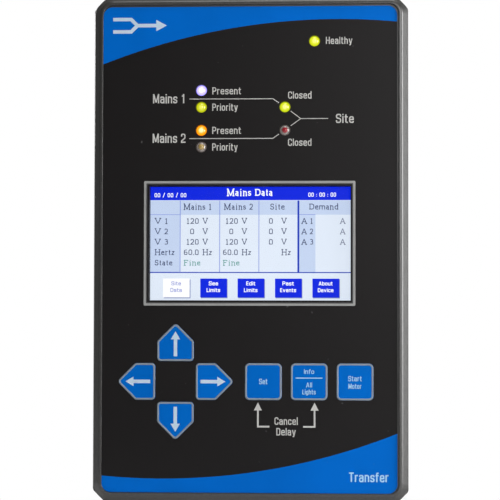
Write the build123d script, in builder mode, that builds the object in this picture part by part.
"""Door-mounted controller of an automatic transfer switch.

Frame: +X to the right of the front view, +Y into the cabinet door, +Z up.
The origin is the centre of the face that seats on the door, so the front
stands at negative Y and the housing reaches back through the door cut-out.
Heights named "level" are distances in front of that seat, so level 12 is
12 mm in front of the door and level -50 is 50 mm behind it.
"""

import math
import os

from build123d import *

os.makedirs("parts", exist_ok=True)

# ---------------------------------------------------------------- bezel
bezel_width = 149.0
bezel_height = 239.8
border_x = 0.4
crest_level = 12.0
top_corner_cut = 6.5
bottom_corner_cut = 5.5
corner_cut_round = 2.6
slope_inset = 3.1
crest_corner_radius = 5.9
crest_outer_round = 2.0
crest_inner_round = 0.12
crest_width = 1.3
steep_inset = 0.4
steep_height = 1.0
recess_depth = 0.9
panel_thickness = 3.0

# ---------------------------------------------------------------- overlay
overlay_width = 139.3
overlay_height = 229.7
overlay_z = -0.35
overlay_corner = 4.3
overlay_thickness = 0.5

overlay_level = crest_level - recess_depth
panel_level = overlay_level - overlay_thickness
panel_back_level = panel_level - panel_thickness

# ---------------------------------------------------------------- display
display_x = 0.2
display_z = 2.2
active_width = 95.04
active_height = 53.86
window_view_margin = 0.25
window_lap = 3.2
window_thickness = 1.2
window_gap = 0.15
module_width = 105.5
module_height = 67.2
module_depth = 2.9
module_metal = 0.3
glass_thickness = 1.1
module_lip_margin = 1.4

# ---------------------------------------------------------------- keys
key_size = 17.3
key_corner = 2.2
arrow_corner = 1.8
key_gap = 0.15
key_travel = 0.5
key_proud = 0.2
key_thickness = 1.5
key_edge_round = 0.25
well_clearance = 0.3
stem_radius = 2.3
stem_gap = 0.3
cross_x = -34.8
cross_z = -63.05
cross_arm = 18.25
square_key_x = 6.7
square_key_pitch = 21.55
square_key_z = -63.0

key_level = overlay_level + key_proud
key_back_level = key_level - key_thickness
well_level = key_back_level - key_travel - well_clearance

# ---------------------------------------------------------------- lamps
led_radius = 2.5
led_flange_radius = 2.9
led_flange_height = 1.0
led_proud = 0.6
led_hole_gap = 0.15
led_base_level = 3.0
led_lead_radius = 0.25
led_lead_pitch = 2.54
led_lead_end_level = -0.8
led_top_level = overlay_level + led_proud
left_led_x = -22.9
right_led_x = 16.7
led_places = {
    "led_unit_status": (30.65, 98.0),
    "led_source1_available": (left_led_x, 74.75),
    "led_source1_preferred": (left_led_x, 66.75),
    "led_source2_available": (left_led_x, 55.75),
    "led_source2_preferred": (left_led_x, 47.85),
    "led_source1_connected": (right_led_x, 66.75),
    "led_source2_connected": (right_led_x, 55.75),
}

# ---------------------------------------------------------------- boards
board_width = 112.6
board_height = 205.6
board_corner = 2.0
board_thickness = 1.6
front_board_level = 2.0
front_board_back = front_board_level - board_thickness
main_board_level = -41.6
main_board_back = main_board_level - board_thickness
board_hole_radius = 1.6
post_x = 52.6
post_rows = (-98.5, 39.5, 98.5)
post_places = [(side * post_x, row) for row in post_rows for side in (-1, 1)]
thread_radius = 1.5
thread_depth = 7.0
thread_engagement = 6.0
thread_clearance = 0.2
standoff_flats = 5.5
boss_radius = 3.4

# ---------------------------------------------------------------- housing
sheet = 1.2
housing_width = 116.6
housing_height = 210.0
housing_corner = 3.0
housing_front_level = 1.5
housing_fit = 0.4
cover_level = -56.2
pocket_width = 114.6
pocket_height = 208.0
pocket_corner = 3.0

# ---------------------------------------------------------------- fixing
stud_radius = 2.0
stud_length = 14.0
stud_spacing_x = 131.0
stud_spacing_z = 222.6
stud_head_radius = 3.4
stud_head_depth = 3.0
gasket_inset = 1.9
gasket_width = 2.6
gasket_depth = 2.0


def level(front):
    """Sketch plane facing the viewer, that far in front of the door."""
    return Plane.XZ.offset(front)


def across(x):
    """Sketch plane facing +X whose local axes are +Y and +Z."""
    return Plane.YZ.offset(x)


def save(piece, name):
    """Name a finished piece and write it to its own file."""
    piece.part.label = name
    export_step(piece.part, f"parts/{name}.step")


# ---------------------------------------------------------------- key plan
def arrow_outline(grow):
    """House-shaped key outline with its apex up, grown by that much."""
    half = key_size / 2
    sharp_apex = half + arrow_corner * (2 ** 0.5 - 1)
    with BuildSketch() as outline:
        with BuildLine():
            Polyline(
                (-half, -half),
                (half, -half),
                (half, sharp_apex - half),
                (0, sharp_apex),
                (-half, sharp_apex - half),
                close=True,
            )
        make_face()
        fillet(outline.vertices(), arrow_corner)
        if grow:
            offset(amount=grow)
    return outline.sketch


def square_outline(grow):
    """Square key outline with rounded corners, grown by that much."""
    with BuildSketch() as outline:
        side = key_size + 2 * grow
        RectangleRounded(side, side, key_corner + grow)
    return outline.sketch


arrow_cap = arrow_outline(0)
arrow_well = arrow_outline(key_gap)
square_cap = square_outline(0)
square_well = square_outline(key_gap)
help_key_x = square_key_x + square_key_pitch
test_key_x = square_key_x + 2 * square_key_pitch
key_plan = {
    "up": (cross_x, cross_z + cross_arm, arrow_cap, arrow_well, 0),
    "left": (cross_x - cross_arm, cross_z, arrow_cap, arrow_well, 90),
    "down": (cross_x, cross_z - cross_arm, arrow_cap, arrow_well, 180),
    "right": (cross_x + cross_arm, cross_z, arrow_cap, arrow_well, -90),
    "enter": (square_key_x, square_key_z, square_cap, square_well, 0),
    "help": (help_key_x, square_key_z, square_cap, square_well, 0),
    "engine_test": (test_key_x, square_key_z, square_cap, square_well, 0),
}
key_places = [(x, z) for x, z, _, _, _ in key_plan.values()]
led_spots = list(led_places.values())

with BuildSketch(level(panel_level)) as key_wells:
    for x, z, _, well, turn in key_plan.values():
        with Locations(Location((x, z, 0), (0, 0, turn))):
            add(well)


# ---------------------------------------------------------------- front bezel
def bezel_prism(depth):
    """Upright block with the bezel's cut-off corners, standing on the seat."""
    with BuildSketch(level(0)) as outline:
        Rectangle(bezel_width, bezel_height)
        chamfer(outline.vertices().group_by(Axis.Y)[-1], top_corner_cut)
        chamfer(outline.vertices().group_by(Axis.Y)[0], bottom_corner_cut)
        fillet(outline.vertices(), corner_cut_round)
    extrude(outline.sketch.moved(Location((border_x, 0, 0))), amount=depth)


window_width = active_width + 2 * window_lap
window_height = active_height + 2 * window_lap
view_width = active_width + 2 * window_view_margin
view_height = active_height + 2 * window_view_margin
view_corner = 0.8
retainer_post_x = 55.3
retainer_post_z = 22.0
retainer_post_radius = 2.0
retainer_thread_radius = 1.0
retainer_thread_runout = 1.0
retainer_posts = [
    (display_x + side * retainer_post_x, display_z + row * retainer_post_z)
    for row in (-1, 1)
    for side in (-1, 1)
]
module_back_level = panel_back_level - module_depth
slope_height = slope_inset - steep_inset
slope_level = crest_level - slope_height
steep_level = slope_level - steep_height
steep_angle = math.degrees(math.atan2(steep_inset, steep_height))
steep_corner = crest_corner_radius + slope_inset
recess_width = bezel_width - 2 * slope_inset - 2 * crest_width
recess_height = bezel_height - 2 * slope_inset - 2 * crest_width
recess_corner = crest_corner_radius - crest_width
stud_corners = [(sx * stud_spacing_x / 2, sz * stud_spacing_z / 2) for sx in (-1, 1) for sz in (-1, 1)]
stud_sides = [(sx * stud_spacing_x / 2, 0) for sx in (-1, 1)]
stud_places = stud_corners + stud_sides
gasket_outer_width = bezel_width - 2 * gasket_inset
gasket_outer_height = bezel_height - 2 * gasket_inset
gasket_corner = 5.0

gasket_inner_width = gasket_outer_width - 2 * gasket_width
gasket_inner_height = gasket_outer_height - 2 * gasket_width
with BuildSketch(level(0)) as gasket_ring:
    with Locations((border_x, 0)):
        RectangleRounded(gasket_outer_width, gasket_outer_height, gasket_corner)
        RectangleRounded(
            gasket_inner_width,
            gasket_inner_height,
            gasket_corner - gasket_width,
            mode=Mode.SUBTRACT,
        )


with BuildPart() as front_bezel:
    bezel_prism(crest_level)
    # the sloped border, as the upper part of a block tapered in two steps
    with BuildPart(mode=Mode.PRIVATE) as tapered:
        with BuildSketch(level(0)):
            Rectangle(2 * bezel_width, 2 * bezel_height)
        extrude(amount=steep_level)
        with BuildSketch(level(steep_level)):
            with Locations((border_x, 0)):
                RectangleRounded(bezel_width, bezel_height, steep_corner)
        extrude(amount=steep_height, taper=steep_angle)
        with BuildSketch(level(slope_level)):
            with Locations((border_x, 0)):
                RectangleRounded(
                    bezel_width - 2 * steep_inset,
                    bezel_height - 2 * steep_inset,
                    steep_corner - steep_inset,
                )
        extrude(amount=slope_height, taper=45)
    add(tapered.part, mode=Mode.INTERSECT)
    # recess for the overlay, inside a rounded crest
    with BuildSketch(level(crest_level)):
        with Locations((border_x, 0)):
            RectangleRounded(recess_width, recess_height, recess_corner)
    extrude(amount=panel_level - crest_level, mode=Mode.SUBTRACT)
    crest = front_bezel.faces().filter_by(Axis.Y).sort_by(Axis.Y)[0]
    fillet(crest.outer_wire().edges(), crest_outer_round)
    crest = front_bezel.faces().filter_by(Axis.Y).sort_by(Axis.Y)[0]
    fillet(crest.inner_wires()[0].edges(), crest_inner_round)
    # pocket behind the panel, stepped so that the housing's edge lands on a ledge
    with BuildSketch(level(0)):
        RectangleRounded(housing_width + 2 * housing_fit, housing_height + 2 * housing_fit, housing_corner)
    extrude(amount=housing_front_level, mode=Mode.SUBTRACT)
    with BuildSketch(level(0)):
        RectangleRounded(pocket_width, pocket_height, pocket_corner)
    extrude(amount=panel_back_level, mode=Mode.SUBTRACT)
    # posts for the boards and for the display's retainer
    with BuildSketch(level(front_board_level)):
        with Locations(*post_places):
            Circle(boss_radius)
    extrude(amount=panel_back_level - front_board_level)
    with BuildSketch(level(module_back_level)):
        with Locations(*retainer_posts):
            Circle(retainer_post_radius)
    extrude(amount=module_depth)
    with BuildSketch(level(front_board_level)):
        with Locations(*post_places):
            Circle(thread_radius)
    extrude(amount=thread_engagement - front_board_level + front_board_back, mode=Mode.SUBTRACT)
    with BuildSketch(level(module_back_level)):
        with Locations(*retainer_posts):
            Circle(retainer_thread_radius)
    extrude(amount=module_depth + retainer_thread_runout, mode=Mode.SUBTRACT)
    # rebate and opening for the display window
    with BuildSketch(level(panel_level)):
        with Locations((display_x, display_z)):
            Rectangle(window_width + 2 * window_gap, window_height + 2 * window_gap)
    extrude(amount=-window_thickness, mode=Mode.SUBTRACT)
    with BuildSketch(level(panel_level)):
        with Locations((display_x, display_z)):
            RectangleRounded(view_width, view_height, view_corner)
    extrude(amount=-panel_thickness, mode=Mode.SUBTRACT)
    # wells and stem holes for the keys, holes for the lamps
    extrude(key_wells.sketch, amount=well_level - panel_level, mode=Mode.SUBTRACT)
    with BuildSketch(level(panel_level)):
        with Locations(*key_places):
            Circle(stem_radius + stem_gap)
        with Locations(*led_spots):
            Circle(led_radius + led_hole_gap)
    extrude(amount=-panel_thickness, mode=Mode.SUBTRACT)
    # groove for the gasket and sockets for the studs' heads, in the seat
    extrude(gasket_ring.sketch, amount=gasket_depth, mode=Mode.SUBTRACT)
    with BuildSketch(level(0)):
        with Locations(*stud_places):
            Circle(stud_head_radius)
    extrude(amount=stud_head_depth, mode=Mode.SUBTRACT)
save(front_bezel, "front_bezel")

with BuildPart() as panel_gasket:
    extrude(gasket_ring.sketch, amount=gasket_depth)
save(panel_gasket, "panel_gasket")

stud_tip_chamfer = 0.5
with BuildPart() as mounting_studs:
    with BuildSketch(level(0)):
        with Locations(*stud_places):
            Circle(stud_head_radius)
    extrude(amount=stud_head_depth)
    with BuildSketch(level(0)):
        with Locations(*stud_places):
            Circle(stud_radius)
    extrude(amount=-stud_length)
    tips = mounting_studs.faces().filter_by(Axis.Y).group_by(Axis.Y)[-1].edges()
    chamfer(tips, stud_tip_chamfer)
save(mounting_studs, "mounting_studs")

# ---------------------------------------------------------------- overlay and window
with BuildPart() as graphic_overlay:
    with BuildSketch(level(panel_level)):
        with Locations((0, overlay_z)):
            RectangleRounded(overlay_width, overlay_height, overlay_corner)
        with Locations((display_x, display_z)):
            RectangleRounded(view_width, view_height, view_corner, mode=Mode.SUBTRACT)
        with Locations(*led_spots):
            Circle(led_radius + led_hole_gap, mode=Mode.SUBTRACT)
    extrude(amount=overlay_thickness)
    extrude(key_wells.sketch, amount=overlay_thickness, mode=Mode.SUBTRACT)
save(graphic_overlay, "graphic_overlay")

with BuildPart() as display_window:
    with BuildSketch(level(panel_level)):
        with Locations((display_x, display_z)):
            Rectangle(window_width, window_height)
    extrude(amount=-window_thickness)
save(display_window, "display_window")

# ---------------------------------------------------------------- keys and their switches
switch_side = 6.2
switch_corner = 0.5
switch_top_level = 5.5
switch_bore_level = 4.0
plunger_radius = 1.7
plunger_gap = 0.1
plunger_top_level = 7.0
plunger_foot_level = 4.7


def make_key(name, x, z, cap, turn):
    """Key cap with a stem that reaches its switch through the panel."""
    with BuildPart() as key:
        with BuildSketch(level(key_back_level)):
            with Locations(Location((x, z, 0), (0, 0, turn))):
                add(cap)
        extrude(amount=key_thickness)
        fillet(key.faces().sort_by(Axis.Y)[0].edges(), key_edge_round)
        with BuildSketch(level(plunger_top_level)):
            with Locations((x, z)):
                Circle(stem_radius)
        extrude(amount=key_back_level - plunger_top_level)
    save(key, f"key_{name}")


def make_plunger(name, x, z):
    """Plunger of the push switch behind one key."""
    with BuildPart() as plunger:
        with BuildSketch(level(plunger_foot_level)):
            with Locations((x, z)):
                Circle(plunger_radius)
        extrude(amount=plunger_top_level - plunger_foot_level)
    save(plunger, f"switch_plunger_{name}")


for name, (x, z, cap, _, turn) in key_plan.items():
    make_key(name, x, z, cap, turn)
    make_plunger(name, x, z)

with BuildPart() as switch_bodies:
    with BuildSketch(level(front_board_level)):
        with Locations(*key_places):
            RectangleRounded(switch_side, switch_side, switch_corner)
    extrude(amount=switch_top_level - front_board_level)
    with BuildSketch(level(switch_bore_level)):
        with Locations(*key_places):
            Circle(plunger_radius + plunger_gap)
    extrude(amount=switch_top_level - switch_bore_level, mode=Mode.SUBTRACT)
save(switch_bodies, "switch_bodies")


# ---------------------------------------------------------------- lamps
def lead_places(x, z):
    """The two lead positions of one lamp."""
    return [(x - led_lead_pitch / 2, z), (x + led_lead_pitch / 2, z)]


def make_led(name, x, z):
    """Round lamp: flange, cylinder, dome and two leads."""
    shoulder_level = led_base_level + led_flange_height
    dome_level = led_top_level - led_radius
    with BuildPart() as led:
        with BuildSketch(Plane.YZ.offset(x)):
            with BuildLine():
                Polyline(
                    (-dome_level, z + led_radius),
                    (-shoulder_level, z + led_radius),
                    (-shoulder_level, z + led_flange_radius),
                    (-led_base_level, z + led_flange_radius),
                    (-led_base_level, z),
                    (-led_top_level, z),
                )
                RadiusArc((-led_top_level, z), (-dome_level, z + led_radius), led_radius)
            make_face()
        revolve(axis=Axis((x, 0, z), (0, 1, 0)))
        with BuildSketch(level(led_base_level)):
            with Locations(*lead_places(x, z)):
                Circle(led_lead_radius)
        extrude(amount=led_lead_end_level - led_base_level)
    save(led, name)


for name, (x, z) in led_places.items():
    make_led(name, x, z)

all_leads = [place for x, z in led_spots for place in lead_places(x, z)]
lead_hole_radius = 0.5
with BuildPart() as led_spacers:
    with BuildSketch(level(front_board_level)):
        with Locations(*led_spots):
            Circle(led_flange_radius)
        with Locations(*all_leads):
            Circle(lead_hole_radius, mode=Mode.SUBTRACT)
    extrude(amount=led_base_level - front_board_level)
save(led_spacers, "led_spacers")

# ---------------------------------------------------------------- display module
lip_width = active_width + 2 * module_lip_margin
lip_height = active_height + 2 * module_lip_margin
module_inner_width = module_width - 2 * module_metal
module_inner_height = module_height - 2 * module_metal
glass_front_level = panel_back_level - module_metal
glass_back_level = glass_front_level - glass_thickness

with BuildPart() as lcd_frame:
    with BuildSketch(level(module_back_level)):
        with Locations((display_x, display_z)):
            Rectangle(module_width, module_height)
    extrude(amount=module_depth)
    with BuildSketch(level(module_back_level)):
        with Locations((display_x, display_z)):
            Rectangle(module_inner_width, module_inner_height)
    extrude(amount=module_depth - module_metal, mode=Mode.SUBTRACT)
    with BuildSketch(level(panel_back_level)):
        with Locations((display_x, display_z)):
            Rectangle(lip_width, lip_height)
    extrude(amount=-module_metal, mode=Mode.SUBTRACT)
save(lcd_frame, "lcd_frame")

with BuildPart() as lcd_glass:
    with BuildSketch(level(glass_back_level)):
        with Locations((display_x, display_z)):
            Rectangle(module_inner_width, module_inner_height)
    extrude(amount=glass_thickness)
save(lcd_glass, "lcd_glass")

with BuildPart() as lcd_backlight:
    with BuildSketch(level(module_back_level)):
        with Locations((display_x, display_z)):
            Rectangle(module_inner_width, module_inner_height)
    extrude(amount=glass_back_level - module_back_level)
save(lcd_backlight, "lcd_backlight")

retainer_thickness = 1.0
retainer_back_level = module_back_level - retainer_thickness
retainer_ear_width = 8.0
retainer_ear_height = 7.0
retainer_corner = 2.0
retainer_side_gap = 0.4
retainer_hole_gap = 0.15
retainer_band = 8.0
retainer_top = 54.0
with BuildPart() as display_retainer:
    with BuildSketch(level(retainer_back_level)):
        with Locations((display_x, display_z)):
            RectangleRounded(module_width, retainer_top, retainer_corner)
            RectangleRounded(
                module_width - 2 * retainer_band,
                retainer_top - 2 * retainer_band,
                retainer_corner,
                mode=Mode.SUBTRACT,
            )
        with Locations(*retainer_posts):
            Rectangle(retainer_ear_width, retainer_ear_height)
        trimmed_width = pocket_width - 2 * retainer_side_gap
        with Locations((0, display_z)):
            Rectangle(trimmed_width, retainer_top, mode=Mode.INTERSECT)
        with Locations(*retainer_posts):
            Circle(retainer_thread_radius + retainer_hole_gap, mode=Mode.SUBTRACT)
    extrude(amount=retainer_thickness)
save(display_retainer, "display_retainer")

retainer_head_radius = 1.6
retainer_head_height = 1.3
retainer_screw_length = 4.0
with BuildPart() as retainer_screws:
    with BuildSketch(level(retainer_back_level)):
        with Locations(*retainer_posts):
            Circle(retainer_thread_radius)
    extrude(amount=retainer_screw_length)
    with BuildSketch(level(retainer_back_level - retainer_head_height)):
        with Locations(*retainer_posts):
            Circle(retainer_head_radius)
    extrude(amount=retainer_head_height)
save(retainer_screws, "retainer_screws")

# ---------------------------------------------------------------- flexible tail of the display
flex_x = 14.0
flex_width = 20.5
flex_thickness = 0.2
flex_start_z = display_z - module_height / 2
flex_exit_height = 0.6
flex_straight = 2.2
flex_reach = 4.8
flex_start_level = module_back_level + flex_exit_height
flex_socket_z = flex_start_z - 9.0
flex_socket_depth = 4.4
flex_socket_height = 1.8
flex_socket_level = front_board_level + flex_socket_height / 2
flex_bend = 1.2
with BuildPart() as display_flex:
    with BuildSketch(across(flex_x - flex_width / 2)):
        with BuildLine() as tail:
            FilletPolyline(
                (-flex_start_level, flex_start_z),
                (-flex_start_level, flex_start_z - flex_straight),
                (-flex_socket_level, flex_start_z - flex_reach),
                (-flex_socket_level, flex_socket_z + flex_socket_depth / 2),
                radius=flex_bend,
            )
        trace(line_width=flex_thickness)
    extrude(amount=flex_width)
save(display_flex, "display_flex")

# ---------------------------------------------------------------- front board
with BuildPart() as front_board:
    with BuildSketch(level(front_board_back)):
        RectangleRounded(board_width, board_height, board_corner)
        with Locations(*post_places):
            Circle(board_hole_radius, mode=Mode.SUBTRACT)
        with Locations(*all_leads):
            Circle(lead_hole_radius, mode=Mode.SUBTRACT)
    extrude(amount=board_thickness)
save(front_board, "front_board")


def chip_blocks(from_level, chips):
    """Flat component bodies on a board: x, z, width, height and tallness."""
    for x, z, width, height, tall in chips:
        with BuildSketch(level(from_level)) as body:
            with Locations((x, z)):
                Rectangle(width, height)
        extrude(body.sketch, amount=tall)


processor = (-4.0, 70.0, 20.0, 20.0, -1.4)
memory = (-4.0, 48.0, 18.0, 10.0, -1.1)
clock_crystal = (12.0, 58.0, 3.2, 11.0, -3.0)
display_driver = (14.0, -12.0, 14.0, 14.0, -1.4)
backlight_coil = (-18.0, -14.0, 7.0, 7.0, -3.6)
lamp_driver = (-10.0, 92.0, 8.0, 12.0, -1.6)
front_board_parts = [processor, memory, clock_crystal, display_driver, backlight_coil, lamp_driver]

# coin cell of the clock, on the back of the front board
cell_x = 34.0
cell_z = 68.0
cell_radius = 10.0
cell_height = 3.2
holder_radius = 12.0
holder_height = 5.0
holder_floor = 1.0
holder_mouth = 9.0
cell_edge_round = 0.4
with BuildPart() as coin_cell_holder:
    with BuildSketch(level(front_board_back)):
        with Locations((cell_x, cell_z)):
            Circle(holder_radius)
    extrude(amount=-holder_height)
    with BuildSketch(level(front_board_back - holder_floor)):
        with Locations((cell_x, cell_z)):
            Circle(cell_radius)
    extrude(amount=-(holder_height - holder_floor), mode=Mode.SUBTRACT)
    with BuildSketch(level(front_board_back - holder_floor)):
        with Locations((cell_x, cell_z - holder_radius)):
            Rectangle(holder_mouth, holder_mouth)
    extrude(amount=-(holder_height - holder_floor), mode=Mode.SUBTRACT)
save(coin_cell_holder, "coin_cell_holder")

with BuildPart() as coin_cell:
    with BuildSketch(level(front_board_back - holder_floor)):
        with Locations((cell_x, cell_z)):
            Circle(cell_radius)
    extrude(amount=-cell_height)
    fillet(coin_cell.faces().sort_by(Axis.Y)[-1].edges(), cell_edge_round)
save(coin_cell, "coin_cell")

# ---------------------------------------------------------------- ribbon between the boards
ribbon_x = 28.0
ribbon_width = 25.4
ribbon_thickness = 1.0
header_length = 33.0
header_depth = 8.8
header_height = 8.0
plug_length = 31.0
plug_height = 4.0
flex_socket_length = flex_width + 4.0
plug_depth = 6.0
front_header_z = 20.0
main_header_z = -18.0
front_header_end = front_board_back - header_height
main_header_end = main_board_level + header_height
front_ribbon_level = front_header_end - plug_height / 2
main_ribbon_level = main_header_end + plug_height / 2
ribbon_bend = 9.0
ribbon_fold_z = (front_header_z + main_header_z) / 2

with BuildPart() as board_sockets:
    with BuildSketch(level(front_board_back)):
        with Locations((ribbon_x, front_header_z)):
            Rectangle(header_length, header_depth)
    extrude(amount=-header_height)
    with BuildSketch(level(main_board_level)):
        with Locations((ribbon_x, main_header_z)):
            Rectangle(header_length, header_depth)
    extrude(amount=header_height)
    with BuildSketch(level(front_board_level)):
        with Locations((flex_x, flex_socket_z)):
            Rectangle(flex_socket_length, flex_socket_depth)
    extrude(amount=flex_socket_height)
save(board_sockets, "board_sockets")

with BuildPart() as ribbon_plugs:
    with BuildSketch(level(front_header_end)):
        with Locations((ribbon_x, front_header_z)):
            Rectangle(plug_length, plug_depth)
    extrude(amount=-plug_height)
    with BuildSketch(level(main_header_end)):
        with Locations((ribbon_x, main_header_z)):
            Rectangle(plug_length, plug_depth)
    extrude(amount=plug_height)
save(ribbon_plugs, "ribbon_plugs")

with BuildPart() as ribbon_cable:
    with BuildSketch(across(ribbon_x - ribbon_width / 2)):
        with BuildLine() as route:
            FilletPolyline(
                (-front_ribbon_level, front_header_z - plug_depth / 2),
                (-front_ribbon_level, ribbon_fold_z),
                (-main_ribbon_level, ribbon_fold_z),
                (-main_ribbon_level, main_header_z + plug_depth / 2),
                radius=ribbon_bend,
            )
        trace(line_width=ribbon_thickness)
    extrude(amount=ribbon_width)
save(ribbon_cable, "ribbon_cable")


# ---------------------------------------------------------------- board posts
def hex_posts(near, far, hole_from, hole_to):
    """Hexagonal posts between two levels, each with a blind threaded hole."""
    with BuildSketch(level(near)) as hexagons:
        with Locations(*post_places):
            RegularPolygon(standoff_flats / 2, 6, major_radius=False)
    extrude(hexagons.sketch, amount=far - near)
    with BuildSketch(level(hole_from)) as holes:
        with Locations(*post_places):
            Circle(thread_radius)
    extrude(holes.sketch, amount=hole_to - hole_from, mode=Mode.SUBTRACT)


def post_threads(near, length):
    """Threaded ends that reach forward from the posts."""
    with BuildSketch(level(near)) as threads:
        with Locations(*post_places):
            Circle(thread_radius)
    extrude(threads.sketch, amount=length)


with BuildPart() as front_standoffs:
    hex_posts(front_board_back, main_board_level, main_board_level, main_board_level + thread_depth)
    post_threads(front_board_back, thread_engagement - thread_clearance)
save(front_standoffs, "front_standoffs")

with BuildPart() as rear_standoffs:
    hex_posts(main_board_back, cover_level, cover_level, cover_level + thread_depth)
    post_threads(main_board_back, board_thickness + thread_engagement)
save(rear_standoffs, "rear_standoffs")

# ---------------------------------------------------------------- main board
with BuildPart() as main_board:
    with BuildSketch(level(main_board_back)):
        RectangleRounded(board_width, board_height, board_corner)
        with Locations(*post_places):
            Circle(board_hole_radius, mode=Mode.SUBTRACT)
    extrude(amount=board_thickness)
save(main_board, "main_board")

measuring_chip = (0.0, 20.0, 14.0, 14.0, -1.4)
network_driver = (4.0, -30.0, 6.0, 5.0, -1.6)
relay_driver_row = [(-18.0 + 18.0 * i, -72.0, 7.0, 18.0, -2.4) for i in range(3)]
main_board_parts = [measuring_chip, network_driver] + relay_driver_row
with BuildPart() as board_chips:
    chip_blocks(front_board_back, front_board_parts)
    chip_blocks(main_board_back, main_board_parts)
save(board_chips, "board_chips")

# two supply transformers on the front of the main board
transformer_places = [(-28.0, 66.0), (20.0, 66.0)]
core_width = 38.0
core_height = 32.0
core_window_height = 20.0
core_stack = 14.0
core_window = 7.0
core_lift = 5.0
core_centre = main_board_level + core_lift + core_stack / 2
with BuildPart() as transformer_cores:
    with BuildSketch(level(main_board_level + core_lift)):
        with Locations(*transformer_places):
            Rectangle(core_width, core_height)
            with Locations((-core_width / 4, 0), (core_width / 4, 0)):
                Rectangle(core_window, core_window_height, mode=Mode.SUBTRACT)
    extrude(amount=core_stack)
save(transformer_cores, "transformer_cores")

limb_width = core_width / 2 - core_window
winding_outer = limb_width + 2 * core_window
with BuildPart() as transformer_windings:
    for x, z in transformer_places:
        with BuildSketch(Plane.XY.offset(z - core_window_height / 2)):
            with Locations((x, -core_centre)):
                Rectangle(winding_outer, core_stack + 2 * core_lift)
                Rectangle(limb_width, core_stack, mode=Mode.SUBTRACT)
        extrude(amount=core_window_height)
save(transformer_windings, "transformer_windings")

capacitor_radius = 8.0
capacitor_height = 25.0
capacitor_rim_round = 0.8
capacitor_places = [(-44.0, 24.0), (-24.0, 24.0), (-44.0, 4.0)]
with BuildPart() as storage_capacitors:
    with BuildSketch(level(main_board_level)):
        with Locations(*capacitor_places):
            Circle(capacitor_radius)
    extrude(amount=capacitor_height)
    rims = storage_capacitors.faces().filter_by(Axis.Y).sort_by(Axis.Y)[: len(capacitor_places)]
    fillet(rims.edges(), capacitor_rim_round)
save(storage_capacitors, "storage_capacitors")

absorber_radius = 6.0
absorber_thickness = 4.0
absorber_columns = [-44.0 + 9.0 * i for i in range(5)]
absorber_z = -22.0
absorber_lift = 1.0
absorber_edge_round = 1.2
absorber_level = main_board_level + absorber_radius + absorber_lift
with BuildPart() as surge_absorbers:
    for column in absorber_columns:
        with BuildSketch(across(column - absorber_thickness / 2)):
            with Locations((-absorber_level, absorber_z)):
                Circle(absorber_radius)
        extrude(amount=absorber_thickness)
    fillet(surge_absorbers.edges().filter_by(GeomType.CIRCLE), absorber_edge_round)
save(surge_absorbers, "surge_absorbers")

relay_width = 15.0
relay_length = 19.0
relay_height = 15.5
relay_pitch_x = 19.0
relay_pitch_z = 24.0
relay_columns = 5
relay_rows = 2
relay_centre_z = -62.0
relay_corner = 0.8
with BuildPart() as output_relays:
    with BuildSketch(level(main_board_level)):
        with Locations((0, relay_centre_z)):
            with GridLocations(relay_pitch_x, relay_pitch_z, relay_columns, relay_rows):
                RectangleRounded(relay_width, relay_length, relay_corner)
    extrude(amount=relay_height)
save(output_relays, "output_relays")

# ---------------------------------------------------------------- rear terminals
terminal_depth = 12.0
terminal_height = 15.2
wire_entry = 2.9
wire_entry_depth = 8.0
screw_well_radius = 1.9
screw_well_depth = 4.0
terminal_edge_x = 45.5
end_wall = 1.0
entry_shift = 3.0
screw_shift = -3.0
block_edge_chamfer = 0.4
terminal_plan = {
    "source1_terminals": (-1, 66.0, 5, 7.62),
    "source2_terminals": (-1, 10.0, 5, 7.62),
    "load_terminals": (-1, -52.0, 5, 7.62),
    "input_terminals": (1, 66.0, 8, 5.08),
    "output_terminals": (1, -20.0, 12, 5.08),
}


def terminal_columns(centre, count, pitch):
    """Heights of the poles of one terminal block."""
    return [centre + (i - (count - 1) / 2) * pitch for i in range(count)]


def make_terminals(name, side, centre, count, pitch):
    """Moulded terminal block with wire entries and screw wells facing back."""
    block_x = side * terminal_edge_x
    rows = terminal_columns(centre, count, pitch)
    end_level = main_board_back - terminal_height
    with BuildPart() as block:
        with BuildSketch(level(main_board_back)):
            with Locations((block_x, centre)):
                Rectangle(terminal_depth, count * pitch + 2 * end_wall)
        extrude(amount=-terminal_height)
        chamfer(block.faces().sort_by(Axis.Y)[-1].edges(), block_edge_chamfer)
        with BuildSketch(level(end_level)):
            with Locations(*[(block_x + side * entry_shift, row) for row in rows]):
                Rectangle(wire_entry, wire_entry)
        extrude(amount=wire_entry_depth, mode=Mode.SUBTRACT)
        with BuildSketch(level(end_level)):
            with Locations(*[(block_x + side * screw_shift, row) for row in rows]):
                Circle(screw_well_radius)
        extrude(amount=screw_well_depth, mode=Mode.SUBTRACT)
    save(block, name)


for name, (side, centre, count, pitch) in terminal_plan.items():
    make_terminals(name, side, centre, count, pitch)

screw_places = [
    (side * (terminal_edge_x + screw_shift), row)
    for side, centre, count, pitch in terminal_plan.values()
    for row in terminal_columns(centre, count, pitch)
]
clamp_screw_radius = 1.8
clamp_screw_height = 2.0
driver_slot_length = 4.6
driver_slot_width = 0.6
driver_slot_depth = 0.8
clamp_screw_foot = main_board_back - terminal_height + screw_well_depth
with BuildPart() as terminal_screws:
    with BuildSketch(level(clamp_screw_foot)):
        with Locations(*screw_places):
            Circle(clamp_screw_radius)
    extrude(amount=-clamp_screw_height)
    with BuildSketch(level(clamp_screw_foot - clamp_screw_height)):
        with Locations(*screw_places):
            Rectangle(driver_slot_length, driver_slot_width)
    extrude(amount=driver_slot_depth, mode=Mode.SUBTRACT)
save(terminal_screws, "terminal_screws")

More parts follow.
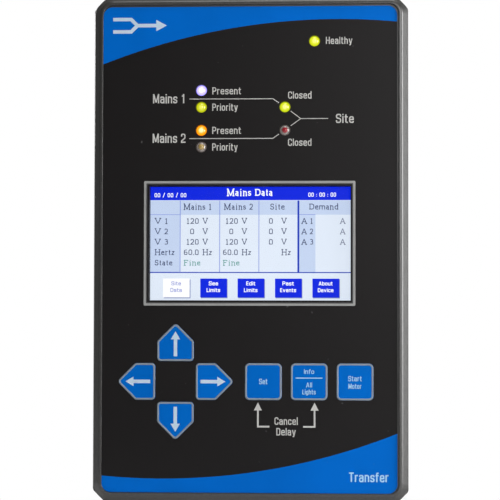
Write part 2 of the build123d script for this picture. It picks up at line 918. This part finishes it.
# ---------------------------------------------------------------- rear housing and cover
vent_length = 16.0
vent_width = 2.6
vent_pitch_x = 21.0
vent_pitch_y = 6.5
vent_rows = 4
top_vent_columns = 4
side_vent_columns = 7
vent_setback = 4.0
earth_x = 20.0
earth_z = -93.0
earth_radius = 2.0
housing_depth = housing_front_level - cover_level
vent_centre = (housing_front_level + cover_level) / 2 - vent_setback
with BuildPart() as rear_housing:
    with BuildSketch(level(cover_level)):
        RectangleRounded(housing_width, housing_height, housing_corner)
        RectangleRounded(
            housing_width - 2 * sheet,
            housing_height - 2 * sheet,
            housing_corner - sheet,
            mode=Mode.SUBTRACT,
        )
    extrude(amount=housing_depth)
    # slots through the top and the bottom walls
    with BuildSketch(Plane.XY.offset(-housing_height)):
        with Locations((0, -vent_centre)):
            with GridLocations(vent_pitch_x, vent_pitch_y, top_vent_columns, vent_rows):
                SlotOverall(vent_length, vent_width)
    extrude(amount=2 * housing_height, mode=Mode.SUBTRACT)
    # slots through both side walls
    with BuildSketch(across(-housing_width)):
        with Locations((-vent_centre, 0)):
            with GridLocations(vent_pitch_y, vent_pitch_x, vent_rows, side_vent_columns):
                SlotOverall(vent_length, vent_width, rotation=90)
    extrude(amount=2 * housing_width, mode=Mode.SUBTRACT)
save(rear_housing, "rear_housing")

cut_out_gap = 0.3
cover_vent_radius = 1.4
cover_vent_pitch = 5.0
cover_vent_columns = 11
cover_vent_rows = 7
cover_vent_places = (72.0, -62.0)
with BuildPart() as rear_cover:
    with BuildSketch(level(cover_level)):
        RectangleRounded(housing_width, housing_height, housing_corner)
        with Locations(*post_places):
            Circle(board_hole_radius, mode=Mode.SUBTRACT)
        for side, centre, count, pitch in terminal_plan.values():
            with Locations((side * terminal_edge_x, centre)):
                Rectangle(
                    terminal_depth + 2 * cut_out_gap,
                    count * pitch + 2 * end_wall + 2 * cut_out_gap,
                    mode=Mode.SUBTRACT,
                )
        for vent_z in cover_vent_places:
            with Locations((0, vent_z)):
                with GridLocations(cover_vent_pitch, cover_vent_pitch, cover_vent_columns, cover_vent_rows):
                    Circle(cover_vent_radius, mode=Mode.SUBTRACT)
        with Locations((earth_x, earth_z)):
            Circle(earth_radius, mode=Mode.SUBTRACT)
    extrude(amount=-sheet)
save(rear_cover, "rear_cover")

cover_back = cover_level - sheet
cover_head_radius = 2.8
cover_head_height = 1.9
cross_slot_length = 3.0
cross_slot_width = 0.7
cross_slot_depth = 1.0
cover_head_round = 0.7
with BuildPart() as cover_screws:
    with BuildSketch(level(cover_back)):
        with Locations(*post_places):
            Circle(thread_radius)
    extrude(amount=thread_engagement + sheet)
    with BuildSketch(level(cover_back)):
        with Locations(*post_places):
            Circle(cover_head_radius)
    extrude(amount=-cover_head_height)
    head_rims = cover_screws.faces().filter_by(Axis.Y).group_by(Axis.Y)[-1].edges()
    fillet(head_rims, cover_head_round)
    with BuildSketch(level(cover_back - cover_head_height)):
        with Locations(*post_places):
            Rectangle(cross_slot_length, cross_slot_width)
            Rectangle(cross_slot_width, cross_slot_length)
    extrude(amount=cross_slot_depth, mode=Mode.SUBTRACT)
save(cover_screws, "cover_screws")

# earth stud riveted in the cover, with its washer and nut
earth_head_radius = 3.5
earth_head_height = 1.2
earth_stud_length = 13.0
earth_washer_radius = 4.5
earth_washer_height = 0.8
earth_nut_flats = 7.0
earth_nut_height = 3.2
with BuildPart() as earth_terminal:
    with BuildSketch(level(cover_level)):
        with Locations((earth_x, earth_z)):
            Circle(earth_head_radius)
    extrude(amount=earth_head_height)
    with BuildSketch(level(cover_level)):
        with Locations((earth_x, earth_z)):
            Circle(earth_radius)
    extrude(amount=-earth_stud_length)
save(earth_terminal, "earth_terminal")

with BuildPart() as earth_hardware:
    with BuildSketch(level(cover_back)):
        with Locations((earth_x, earth_z)):
            Circle(earth_washer_radius)
            Circle(earth_radius, mode=Mode.SUBTRACT)
    extrude(amount=-earth_washer_height)
    with BuildSketch(level(cover_back - earth_washer_height)):
        with Locations((earth_x, earth_z)):
            RegularPolygon(earth_nut_flats / 2, 6, major_radius=False)
            Circle(earth_radius, mode=Mode.SUBTRACT)
    extrude(amount=-earth_nut_height)
save(earth_hardware, "earth_hardware")
